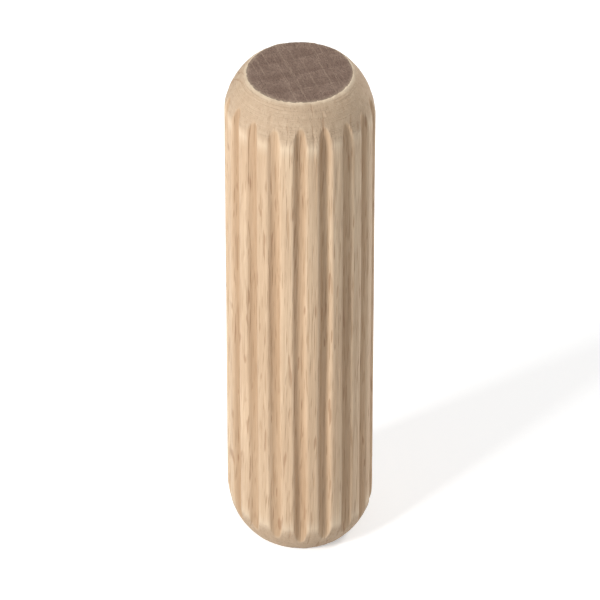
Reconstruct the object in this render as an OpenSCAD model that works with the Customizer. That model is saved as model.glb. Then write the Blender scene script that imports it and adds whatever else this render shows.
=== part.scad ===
// Fluted wooden dowel pin, standing on one flat end.
// The axis is +Z and the origin is the centre of the lower end face.
// All lengths are in millimetres and all angles in degrees.

/* [Pin] */
// Diameter over the crests between the flutes
pin_d = 8; // [8:0.5:12]
// Length over the two flat end faces
pin_l = 30; // [20:1:60]

/* [Flutes] */
// Number of glue flutes round the pin
flute_count = 18; // [12:1:22]
// Width of one flute where its edges leave the crests
flute_w = 0.7; // [0.5:0.01:0.75]
// Depth of a flute below the crests
flute_depth = 0.27; // [0.2:0.01:0.35]
// Radius that rounds each edge of a flute
edge_r = 0.16; // [0.05:0.01:0.17]

/* [Ends] */
// Diameter of the flat face left at each end
face_d = 5.7; // [4.5:0.1:6]
// Length of the domed chamfer behind each end face
chamfer_l = 2.3; // [1.5:0.1:2.6]

/* [Hidden] */
$fn = 96;

crest_r = pin_d / 2;
face_r = face_d / 2;

// The chamfer is a zone of a sphere through the rim of the face and the start of the chamfer.
dome_z = (crest_r * crest_r + chamfer_l * chamfer_l - face_r * face_r) / (2 * chamfer_l);
dome_r = sqrt(face_r * face_r + dome_z * dome_z);

// One flute lies on the +X axis: its root arc runs into the two edge arcs, which run into the crests.
// The edge circles overlap both a hair, so that the arcs cross and don't just touch.
overlap = 0.001;
pitch = 360 / flute_count;
half_angle = asin(flute_w / pin_d);
near_r = edge_r - overlap;
edge_x = (crest_r - near_r) * cos(half_angle);
edge_y = (crest_r - near_r) * sin(half_angle);
rise = edge_x - (crest_r - flute_depth);
root_r = (rise * rise + edge_y * edge_y - near_r * near_r) / (2 * (rise + near_r));
root_x = crest_r - flute_depth + root_r;
clear = 0.5;

// The end of the root arc, a hair inside the edge circle on the side that sign gives
function root_end(sign) =
    [root_x + (edge_x - root_x) * root_r / (root_r + near_r), sign * edge_y * root_r / (root_r + near_r)];

// The point at the half angle of the flute and a distance r from the pin's axis
function ray(r, sign) = [r * cos(half_angle), sign * r * sin(half_angle)];

// Section of what one flute takes away, with rounded edges and a rounded root
module flute_section() {
    difference() {
        union() {
            translate([root_x, 0]) circle(r = root_r);
            polygon([
                root_end(-1), ray(crest_r, -1), ray(crest_r + clear, -1),
                ray(crest_r + clear, 1), ray(crest_r, 1), root_end(1)
            ]);
        }
        for (sign = [-1, 1]) translate([edge_x, sign * edge_y]) circle(r = edge_r);
    }
}

// Section of the rod with its flutes, a crest centred on the +X axis
module fluted_section() {
    difference() {
        circle(r = crest_r);
        for (i = [0 : flute_count - 1]) rotate((i + 0.5) * pitch) flute_section();
    }
}

// Outline of a lower end's dome and the space above it, from the axis outwards
module domed_outline() {
    translate([0, dome_z]) {
        circle(r = dome_r);
        square([dome_r, pin_l]);
    }
}

// Outline that both ends are turned to, a little wider than the rod between them
module turned_outline() {
    intersection() {
        square([dome_r, pin_l]);
        domed_outline();
        translate([0, pin_l]) mirror([0, 1]) domed_outline();
    }
}

// The flutes run the whole length, and the turned ends cut them off in rounded run-outs.
module dowel_pin() {
    color("burlywood")
        intersection() {
            linear_extrude(height = pin_l) fluted_section();
            rotate_extrude() turned_outline();
        }
}

dowel_pin();
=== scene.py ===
import math

import bmesh
import bpy
from mathutils import Matrix, Vector, noise


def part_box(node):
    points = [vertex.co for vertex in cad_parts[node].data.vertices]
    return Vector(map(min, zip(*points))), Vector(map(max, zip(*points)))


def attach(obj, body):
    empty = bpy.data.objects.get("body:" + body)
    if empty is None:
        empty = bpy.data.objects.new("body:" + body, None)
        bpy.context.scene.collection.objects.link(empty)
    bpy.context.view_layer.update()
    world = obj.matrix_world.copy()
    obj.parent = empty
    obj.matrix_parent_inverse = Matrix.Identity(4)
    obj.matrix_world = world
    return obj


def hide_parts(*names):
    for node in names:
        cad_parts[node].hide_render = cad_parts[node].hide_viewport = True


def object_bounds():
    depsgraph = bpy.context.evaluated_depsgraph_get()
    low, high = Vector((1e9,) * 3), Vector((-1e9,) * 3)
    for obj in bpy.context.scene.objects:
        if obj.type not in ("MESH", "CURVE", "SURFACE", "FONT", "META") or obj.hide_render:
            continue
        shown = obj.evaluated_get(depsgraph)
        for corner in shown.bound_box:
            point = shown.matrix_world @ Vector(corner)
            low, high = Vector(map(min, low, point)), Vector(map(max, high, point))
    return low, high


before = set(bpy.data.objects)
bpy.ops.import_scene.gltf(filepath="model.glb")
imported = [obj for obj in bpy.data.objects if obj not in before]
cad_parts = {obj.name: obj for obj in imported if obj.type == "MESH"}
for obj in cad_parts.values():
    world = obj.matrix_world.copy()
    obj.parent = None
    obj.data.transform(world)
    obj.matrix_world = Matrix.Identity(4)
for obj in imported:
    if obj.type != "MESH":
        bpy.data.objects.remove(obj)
cad_lowest, cad_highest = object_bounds()

# ---------------------------------------------------------------- Dowel pin
# One straight length of beech. The rod was driven through a die that left its glue flutes, then sawn square
# to length, and a cup cutter rounded over both ends, which is where the flutes run out.
# It is modelled in millimetres and brought to metres when its mesh is finished.

MM = 0.001
AXIS = Vector((0, 0, 1))
ORIGIN = Vector((0, 0, 0))
pin_lowest, pin_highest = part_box("dowel_pin")
PIN_L = (pin_highest.z - pin_lowest.z) / MM
CREST_R = min(pin_highest.x, -pin_lowest.x) / MM
FLUTE_COUNT = 18
FLUTE_W = 0.94
FLUTE_DEPTH = 0.27
FLUTE_EDGE_R = 0.21
FACE_R = 2.85
CHAMFER_L = 2.3

# Section: one pitch, traced from the middle of a crest through a flute to the middle of the next crest.
# The arc of the root runs into the two edge arcs, and these run into the crests.
PITCH = math.tau / FLUTE_COUNT
CREST_STEPS = 4
EDGE_STEPS = 4
ROOT_STEPS = 8
MERGE_DISTANCE = 0.001
half_flute = math.asin(FLUTE_W / 2 / CREST_R)
edge_x = (CREST_R - FLUTE_EDGE_R) * math.cos(half_flute)
edge_y = (CREST_R - FLUTE_EDGE_R) * math.sin(half_flute)
rise = edge_x - (CREST_R - FLUTE_DEPTH)
root_r = (rise ** 2 + edge_y ** 2 - FLUTE_EDGE_R ** 2) / (2 * (rise + FLUTE_EDGE_R))
root_x = CREST_R - FLUTE_DEPTH + root_r
crest_turn = PITCH / 2 - half_flute
root_turn = 2 * math.atan2(edge_y, root_x - edge_x)
edge_turn = root_turn / 2 + half_flute
arcs = [
    (ORIGIN, crest_turn, CREST_STEPS),
    (Vector((edge_x, -edge_y, 0)), edge_turn, EDGE_STEPS),
    (Vector((root_x, 0, 0)), -root_turn, ROOT_STEPS),
    (Vector((edge_x, edge_y, 0)), edge_turn, EDGE_STEPS),
    (ORIGIN, crest_turn, CREST_STEPS),
]
pin = bmesh.new()
tip = pin.verts.new((CREST_R * math.cos(PITCH / 2), -CREST_R * math.sin(PITCH / 2), 0))
for centre, turn, steps in arcs:
    arc = bmesh.ops.spin(pin, geom=[tip], cent=centre, axis=AXIS, angle=turn, steps=steps)
    tip = arc["geom_last"][0]

# Slide is how far each point would turn to be evenly spaced, as at the ends, past the flutes.
slide = pin.verts.layers.float.new("slide")
for step, vert in enumerate(pin.verts):
    even_angle = PITCH * (step / (len(pin.verts) - 1) - 0.5)
    vert[slide] = even_angle - math.atan2(vert.co.y, vert.co.x)
bmesh.ops.spin(
    pin, geom=pin.verts[:] + pin.edges[:], cent=ORIGIN, axis=AXIS,
    angle=math.tau - PITCH, steps=FLUTE_COUNT - 1, use_duplicate=True,
)
bmesh.ops.remove_doubles(pin, verts=pin.verts, dist=MERGE_DISTANCE)
bmesh.ops.rotate(pin, verts=pin.verts, cent=ORIGIN, matrix=Matrix.Rotation(PITCH / 2, 3, "Z"))


def drawn_out(rim):
    """Extrudes a loop of edges, and gives the edges and the vertices of the new loop."""
    new = bmesh.ops.extrude_edge_only(pin, edges=rim)["geom"]
    edges = [part for part in new if isinstance(part, bmesh.types.BMEdge)]
    verts = [part for part in new if isinstance(part, bmesh.types.BMVert)]
    return edges, verts


# Rod: the section drawn up in rows, close together where the ends will be turned.
CHAMFER_ROWS = 36
SHANK_ROWS = 76
chamfer_steps = [CHAMFER_L / CHAMFER_ROWS] * CHAMFER_ROWS
shank_steps = [(PIN_L - 2 * CHAMFER_L) / SHANK_ROWS] * SHANK_ROWS
bottom_rim = pin.edges[:]
top_rim = bottom_rim
for row_step in chamfer_steps + shank_steps + chamfer_steps:
    top_rim, verts = drawn_out(top_rim)
    bmesh.ops.translate(pin, verts=verts, vec=AXIS * row_step)

# Turned ends: every row is held inside the dome of its end, a zone of a sphere through the rim of the face
# and the start of the chamfer. Each dome sits a little off the rod's axis. Its cutter flares out past the
# chamfer, so it leaves the rod without a step, and the blend rounds the corner between the two.
DOME_Z = (CREST_R ** 2 + CHAMFER_L ** 2 - FACE_R ** 2) / (2 * CHAMFER_L)
DOME_R = math.hypot(FACE_R, DOME_Z)
LOWER_DOME_OFFSET = Vector((0.05, -0.03))
UPPER_DOME_OFFSET = Vector((-0.04, -0.05))
CUTTER_FLARE = 0.2
CUTTER_FLARE_L = 1
BLEND_W = 0.07
SHOULDER_REACH = 0.35
# From the first of these distances to the second, the points even out round the pin.
EVEN_FROM = 1.1
EVEN_TO = 0.6
# Each flute wanders a little and isn't quite as deep all the way along.
FLUTE_SWAY = 0.02
FLUTE_UNEVENNESS = 0.34
FLUTE_WAVE_L = 11
# Flutes side by side take their waves from places this far apart in the noise, so that no two are alike.
FLUTE_SPREAD = 3.7
# A point counts as on a crest up to this share of a flute's depth.
CREST_SHARE = 0.3
# A point on the line between two lanes falls in the second one, whichever way its angle is rounded.
LANE_HAIR = 1e-4
flute = pin.verts.layers.float.new("flute")
turned = pin.verts.layers.float.new("turned")
shoulder = pin.verts.layers.float.new("shoulder")


def smooth_step(start, end, value):
    """0 at the start and before it, 1 at the end and past it, with a smooth rise between them."""
    share = min(max((value - start) / (end - start), 0), 1)
    return share * share * (3 - 2 * share)


def flute_wave(lane, height, seed):
    """Slow noise along one flute, from -1 to 1."""
    return noise.noise(Vector((FLUTE_SPREAD * lane, height / FLUTE_WAVE_L, seed)))


for vert in pin.verts:
    upper = vert.co.z > PIN_L / 2
    inset = max(PIN_L - vert.co.z if upper else vert.co.z, 0)
    offset = UPPER_DOME_OFFSET if upper else LOWER_DOME_OFFSET
    angle = math.atan2(vert.co.y, vert.co.x)
    lane = math.floor(angle / PITCH + LANE_HAIR)
    from_flute = 2 * (angle / PITCH - lane - 0.5)
    cut = (CREST_R - vert.co.xy.length) * (1 + FLUTE_UNEVENNESS * flute_wave(lane, vert.co.z, seed=0))
    angle += FLUTE_SWAY * (1 - from_flute ** 2) * flute_wave(lane, vert.co.z, seed=7)
    angle += vert[slide] * smooth_step(EVEN_FROM, EVEN_TO, inset)
    section_r = CREST_R - cut
    dome_r = math.sqrt(DOME_R ** 2 - min(inset - DOME_Z, 0) ** 2)
    dome_r += offset.x * math.cos(angle) + offset.y * math.sin(angle)
    dome_r += CUTTER_FLARE * smooth_step(CHAMFER_L, CHAMFER_L + CUTTER_FLARE_L, inset)
    overlap = max(BLEND_W - abs(section_r - dome_r), 0)
    radius = min(section_r, dome_r) - overlap ** 2 / (4 * BLEND_W)
    on_crest = smooth_step(CREST_SHARE, 0, cut / FLUTE_DEPTH)
    vert[turned] = smooth_step(-BLEND_W, BLEND_W, section_r - dome_r)
    vert[flute] = cut / FLUTE_DEPTH * (1 - vert[turned])
    vert[shoulder] = on_crest * math.exp(-((inset - CHAMFER_L) / SHOULDER_REACH) ** 2)
    vert.co.x = radius * math.cos(angle)
    vert.co.y = radius * math.sin(angle)

# End faces: each rim drawn inwards in rings to its centre, and the sharp rim taken off.
FACE_RINGS = 34
RIM_BEVEL = 0.06
RIM_SEGMENTS = 3
sawn = pin.verts.layers.float.new("sawn")
for rim, height in ((bottom_rim, 0), (top_rim, PIN_L)):
    for ring in range(FACE_RINGS, 0, -1):
        rim, verts = drawn_out(rim)
        shrink = (ring - 1) / ring
        for vert in verts:
            vert[sawn] = 1
        if ring > 1:
            bmesh.ops.scale(pin, verts=verts, vec=(shrink, shrink, 1))
        else:
            bmesh.ops.pointmerge(pin, verts=verts, merge_co=AXIS * height)
bmesh.ops.recalc_face_normals(pin, faces=pin.faces)
bmesh.ops.bevel(
    pin, geom=bottom_rim + top_rim, affect="EDGES", offset=RIM_BEVEL, offset_type="OFFSET",
    segments=RIM_SEGMENTS, profile=0.5, material=-1,
)

# Wear: fibres that stand out, torn grain, slow waves left by the die, crumbs off the rims, and the saw's
# ridges on the faces. Each lets the surface in by its own depth.
FIBRE_DEPTH = 0.010
TEAR_DEPTH = 0.10
TEAR_FROM = 0.42
WAVE_DEPTH = 0.008
CRUMB_DEPTH = 0.03
RIM_REACH = 0.16
SAW_DEPTH = 0.014
SAW_RIDGE_L = 5
SAW_RIDGE_W = 0.4
# From the first of these distances inside the rim to the second, end grain takes over from side grain.
SAWN_FROM = -0.03
SAWN_TO = 0.15
rim_wear = pin.verts.layers.float.new("rim")


def patches(point, across, along, seed):
    """Noise from -1 to 1, in patches of one size across the grain and another along it."""
    return noise.noise(Vector((point.x / across + seed, point.y / across, point.z / along)))


wear_depth = {}
pin.normal_update()
for vert in pin.verts:
    point = vert.co
    inside_rim = FACE_R - point.xy.length
    inset = min(point.z, PIN_L - point.z)
    face = vert[sawn]
    rim = math.exp(-(math.hypot(inside_rim, inset) / RIM_REACH) ** 2)
    tear = max(patches(point, across=0.28, along=2.4, seed=20) - TEAR_FROM, 0)
    crumb = 1 + patches(point, across=0.3, along=0.3, seed=60)
    crumb *= 1 + patches(point, across=0.9, along=0.9, seed=80)
    ridge_point = ((point.x + point.y) / SAW_RIDGE_L, (point.x - point.y) / SAW_RIDGE_W, point.z)
    wear_depth[vert] = (
        FIBRE_DEPTH * (1 + patches(point, across=0.22, along=6, seed=0))
        + TEAR_DEPTH * tear
        + WAVE_DEPTH * (1 - face) * (1 + patches(point, across=0.9, along=7, seed=40))
        + CRUMB_DEPTH * rim * crumb
        + SAW_DEPTH * face * (1 + noise.noise(Vector(ridge_point)))
    )
    vert[rim_wear] = rim
    vert[sawn] = face * smooth_step(SAWN_FROM, SAWN_TO, inside_rim)
for vert, depth in wear_depth.items():
    vert.co -= vert.normal * depth


def finished(shape, name):
    """Makes a shape an object at the origin, in the scene."""
    mesh = bpy.data.meshes.new(name)
    shape.to_mesh(mesh)
    shape.free()
    made = bpy.data.objects.new(name, mesh)
    bpy.context.scene.collection.objects.link(made)
    return made


bmesh.ops.scale(pin, verts=pin.verts, vec=(MM, MM, MM))
fluted_pin = finished(pin, "fluted_pin")
fluted_pin.data.shade_smooth()


def blank_material(name):
    """A material with no nodes yet."""
    material = bpy.data.materials.new(name)
    material.use_nodes = True
    material.node_tree.nodes.clear()
    return material


def shader_node(material, kind, inputs=None, **settings):
    """Adds a node, sets what it is given, and links each input that is another node's socket."""
    made = material.node_tree.nodes.new("ShaderNode" + kind)
    for name, value in settings.items():
        setattr(made, name, value)
    for name, value in (inputs or {}).items():
        if isinstance(value, bpy.types.NodeSocket):
            material.node_tree.links.new(value, made.inputs[name])
        else:
            made.inputs[name].default_value = value
    return made.outputs


# Beech: pale and rosy bands, yearly rings, rays that show as short dark flecks on the side and as fine
# lines on the ends, fibres and pores, and sawn end grain that is darker than the side, partly as its own
# colour and partly as painted shade.
beech = blank_material("beech")


def beech_node(kind, inputs=None, **settings):
    """Adds a node to the beech."""
    return shader_node(beech, kind, inputs, **settings)


# The grain runs along the pin and a little askew, and is laid out in millimetres.
GRAIN_TURN = (0.010, -0.018, 1.25)
place = beech_node("TexCoord")["Object"]
in_grain = {"Vector": place, "Rotation": GRAIN_TURN, "Scale": (1 / MM, 1 / MM, 1 / MM)}
wood = beech_node("Mapping", in_grain)["Vector"]


def maths(operation, first, second=0.0):
    """Works out one step of arithmetic."""
    return beech_node("Math", {0: first, 1: second}, operation=operation)["Value"]


def eased(value, low, high, to_low=0.0, to_high=1.0):
    """Takes a value from one range to another, smoothly and without going past the ends."""
    inputs = {0: value, 1: low, 2: high, 3: to_low, 4: to_high}
    return beech_node("MapRange", inputs, interpolation_type="SMOOTHSTEP")["Result"]


def cloudy(size, detail):
    """Noise from 0 to 1, in patches of a size outwards from the pith, round it and along the grain."""
    point = beech_node("Mapping", {"Vector": wood, "Scale": [1 / length for length in size]})["Vector"]
    inputs = {"Vector": point, "Scale": 1.0, "Detail": detail, "Roughness": 0.6}
    return beech_node("TexNoise", inputs)["Fac"]


def marked(name):
    """The share, from 0 to 1, that the mesh holds at each point under that name."""
    return beech_node("Attribute", attribute_name=name)["Fac"]


def blended(factor, first, second, blend_type="MIX"):
    """Mixes two colours."""
    inputs = {0: factor, 6: first, 7: second}
    return beech_node("Mix", inputs, data_type="RGBA", blend_type=blend_type, clamp_factor=True)[2]


def stained(colour, stains):
    """Lays stains over a colour in turn. Each has the share it covers, its strength and its colour."""
    for share, strength, stain in stains:
        colour = blended(maths("MULTIPLY", share, strength), colour, stain)
    return colour


def raised(value, parts):
    """Adds to a value the share of each part times its amount."""
    for share, amount in parts:
        value = maths("ADD", value, maths("MULTIPLY", share, amount))
    return value


PALE = (0.745, 0.590, 0.415, 1)
ROSY = (0.675, 0.487, 0.322, 1)
LATE = (0.515, 0.355, 0.224, 1)
RAY = (0.340, 0.190, 0.105, 1)
PORE = (0.400, 0.240, 0.130, 1)
# Flute roots: partly the colour of burnished wood, partly painted shade in the hollows.
FLUTE_ROOT_BURNISH_AND_SHADE = (0.640, 0.550, 0.460, 1)
TURNED = (0.535, 0.408, 0.285, 1)
TURNED_DARK = (0.415, 0.288, 0.190, 1)
# Sawn end grain: partly the wood's own darker end grain, partly painted shade.
SAWN = (0.270, 0.187, 0.143, 1)
SAWN_DARK = (0.175, 0.112, 0.084, 1)
SAWN_PALE = (0.490, 0.370, 0.275, 1)
# Pale for the rubbed rims, and at the ridge tips partly a painted highlight.
PALE_WEAR_AND_HIGHLIGHT = (0.790, 0.650, 0.480, 1)
PITH_X = 34
RING_W = 1.4
RELIEF_DEPTH = 0.020

# Rings: the pith lies well outside the pin, so it has only short arcs of them.
outwards = {"Vector": wood, "Location": (PITH_X, 0, 0), "Scale": (1, 1, 0)}
from_pith = beech_node("Mapping", outwards)["Vector"]
pith_distance = beech_node("VectorMath", {0: from_pith}, operation="LENGTH")["Value"]
ring_place = maths("ADD", maths("DIVIDE", pith_distance, RING_W), cloudy((6, 6, 45), 1))
ring = maths("FRACT", ring_place)
late = maths("MULTIPLY", eased(ring, 0.35, 0.92), eased(ring, 0.94, 1.0, 1, 0))

# Side: broad tones and streaks first, then strands, fibres, pores and rays, and darker roots in the flutes,
# partly burnished wood and partly painted shade in the hollows.
tone = eased(cloudy((3.5, 3.5, 30), 2), 0.30, 0.70)
patch = eased(cloudy((1.6, 1.6, 7), 2), 0.42, 0.68)
streak = eased(cloudy((0.55, 0.55, 22), 3), 0.42, 0.72)
strand = eased(cloudy((0.17, 0.17, 6), 2), 0.42, 0.70)
mottle = eased(cloudy((0.30, 0.30, 1.1), 3), 0.35, 0.75)
fibre = cloudy((0.07, 0.07, 3), 2)
pore = eased(cloudy((0.07, 0.07, 1.6), 0.5), 0.60, 0.72)
ray = eased(cloudy((2.4, 0.13, 1.5), 0.5), 0.66, 0.76)
side_colour = stained(blended(tone, PALE, ROSY), [
    (patch, 0.30, LATE),
    (late, 0.35, LATE),
    (streak, 0.48, LATE),
    (strand, 0.40, LATE),
    (mottle, 0.20, LATE),
    (eased(fibre, 0.40, 0.66), 0.40, LATE),
    (pore, 0.45, PORE),
    (ray, 0.60, RAY),
])
# The flute roots are darkened, partly as burnish and partly as painted shade in the hollows.
side_colour = blended(eased(marked("flute"), 0.25, 1.0, 0, 0.50), side_colour, FLUTE_ROOT_BURNISH_AND_SHADE, "MULTIPLY")

# Turned chamfers: dull and a little darker, with the cutter's fine rings.
turned_share = marked("turned")
speck = eased(cloudy((0.13, 0.13, 2), 2), 0.40, 0.70)
cutter_ring = eased(cloudy((3, 3, 0.07), 1), 0.35, 0.70)
turned_colour = stained(TURNED, [
    (mottle, 0.45, TURNED_DARK),
    (cutter_ring, 0.25, TURNED_DARK),
    (speck, 0.35, TURNED_DARK),
    (ray, 0.40, RAY),
])

# Sawn faces: brown end grain, partly its own darker colour and partly painted shade, with fine pale rays
# and dark pores, and an uneven edge.
sawn_edge = eased(cloudy((0.22, 0.22, 2), 2), 0.30, 0.70, 0.4, 1.8)
sawn_share = eased(maths("MULTIPLY", marked("sawn"), sawn_edge), 0.20, 0.40)
end_ray = eased(cloudy((4.5, 0.09, 4), 1), 0.55, 0.66)
blotch = eased(cloudy((0.65, 0.65, 3), 4), 0.34, 0.66)
sawn_colour = stained(SAWN, [
    (blotch, 0.70, SAWN_DARK),
    (late, 0.60, SAWN_DARK),
    (end_ray, 0.26, SAWN_PALE),
    (speck, 0.55, SAWN_DARK),
])

# The ridge tips where the chamfers start are painted pale, partly as a painted highlight and partly as
# rubbing, and the rims of the faces are rubbed pale, in some spots more.
rim_rub = eased(cloudy((0.9, 0.9, 2), 2), 0.30, 0.60, 0.35, 0.90)
rim_rub = maths("MULTIPLY", rim_rub, eased(sawn_share, 0, 1, 1, 0.3))
colour = stained(side_colour, [
    (turned_share, 0.75, turned_colour),
    # The ridge tips at the shoulders: partly painted highlight, partly rubbed pale.
    (marked("shoulder"), 0.45, PALE_WEAR_AND_HIGHLIGHT),
    (sawn_share, 1, sawn_colour),
    (maths("MULTIPLY", marked("rim"), rim_rub), 1, PALE_WEAR_AND_HIGHLIGHT),
])

# Relief that is too fine for the mesh, and a duller surface where the wood was cut across.
relief = raised(fibre, [
    (pore, -0.6),
    (ray, -0.4),
    (maths("MULTIPLY", cutter_ring, turned_share), 0.8),
    (maths("MULTIPLY", speck, sawn_share), -1.5),
])
bump = beech_node("Bump", {"Height": relief, "Strength": 1.0, "Distance": RELIEF_DEPTH * MM})["Normal"]
roughness = raised(eased(fibre, 0.30, 0.70, 0.52, 0.68), [(turned_share, 0.12), (sawn_share, 0.20)])
bare_wood = beech_node("BsdfPrincipled", {
    "Base Color": colour, "Roughness": roughness, "Normal": bump, "Specular IOR Level": 0.3,
})["BSDF"]
beech_node("OutputMaterial", {"Surface": bare_wood})
fluted_pin.data.materials.append(beech)

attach(fluted_pin, "root")
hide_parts("dowel_pin")

# ---------------------------------------------------------------- Floor
# A pale seamless sheet under the pin. It is plain paper, laid flat, and takes the pin's soft shadow.
# Where the camera or a reflection sees it, it glows a little, so that it comes out white.

FLOOR_SIDE = 4.0
PAPER = (0.8, 0.8, 0.8, 1)
PAPER_GLOW = 0.42

sheet = bmesh.new()
bmesh.ops.create_grid(sheet, x_segments=1, y_segments=1, size=FLOOR_SIDE / 2)
floor = finished(sheet, "floor")
paper = blank_material("paper")
seen = shader_node(paper, "LightPath")
in_view = {0: seen["Is Camera Ray"], 1: seen["Is Glossy Ray"]}
looked_at = shader_node(paper, "Math", in_view, operation="MAXIMUM")["Value"]
strength = shader_node(paper, "Math", {0: looked_at, 1: PAPER_GLOW}, operation="MULTIPLY")["Value"]
matte = shader_node(paper, "BsdfDiffuse", {"Color": PAPER})["BSDF"]
glow = shader_node(paper, "Emission", {"Strength": strength})["Emission"]
lit_paper = shader_node(paper, "AddShader", {0: matte, 1: glow})["Shader"]
shader_node(paper, "OutputMaterial", {"Surface": lit_paper})
floor.data.materials.append(paper)

# ---------------------------------------------------------------- Light
# A soft window low on the left in front, a second one behind on the right, and a pale room all round.

ROOM_STRENGTH = 0.36
middle = (cad_lowest + cad_highest) / 2


def aimed(name, data, azimuth, elevation, distance):
    """Places a lamp or camera that looks at the middle of the pin. Azimuth 0 is on the -Y side."""
    turn = Matrix.Rotation(math.radians(azimuth), 4, "Z")
    tilt = Matrix.Rotation(math.radians(90 - elevation), 4, "X")
    made = bpy.data.objects.new(name, data)
    made.matrix_world = Matrix.Translation(middle) @ turn @ tilt @ Matrix.Translation((0, 0, distance))
    bpy.context.scene.collection.objects.link(made)
    return made


def softbox(name, side, watts, azimuth, elevation, distance):
    """A square area lamp."""
    lamp = bpy.data.lights.new(name, "AREA")
    lamp.shape = "SQUARE"
    lamp.size = side
    lamp.energy = watts
    aimed(name, lamp, azimuth, elevation, distance)


softbox("window", side=0.16, watts=3.3, azimuth=-50, elevation=32, distance=0.6)
softbox("far_window", side=0.2, watts=2.5, azimuth=132, elevation=30, distance=0.7)
world = bpy.data.worlds.new("room")
world.use_nodes = True
room = world.node_tree.nodes["Background"]
room.inputs["Color"].default_value = (1, 1, 1, 1)
room.inputs["Strength"].default_value = ROOM_STRENGTH
bpy.context.scene.world = world
bpy.context.scene.view_settings.view_transform = "Standard"

# ---------------------------------------------------------------- Camera
# A long lens that looks down on the standing pin, so that its upper end and its whole length show.

camera_data = bpy.data.cameras.new("camera")
camera_data.sensor_width = 36
camera_data.lens = 345
bpy.context.scene.camera = aimed("camera", camera_data, azimuth=0, elevation=37, distance=0.31)
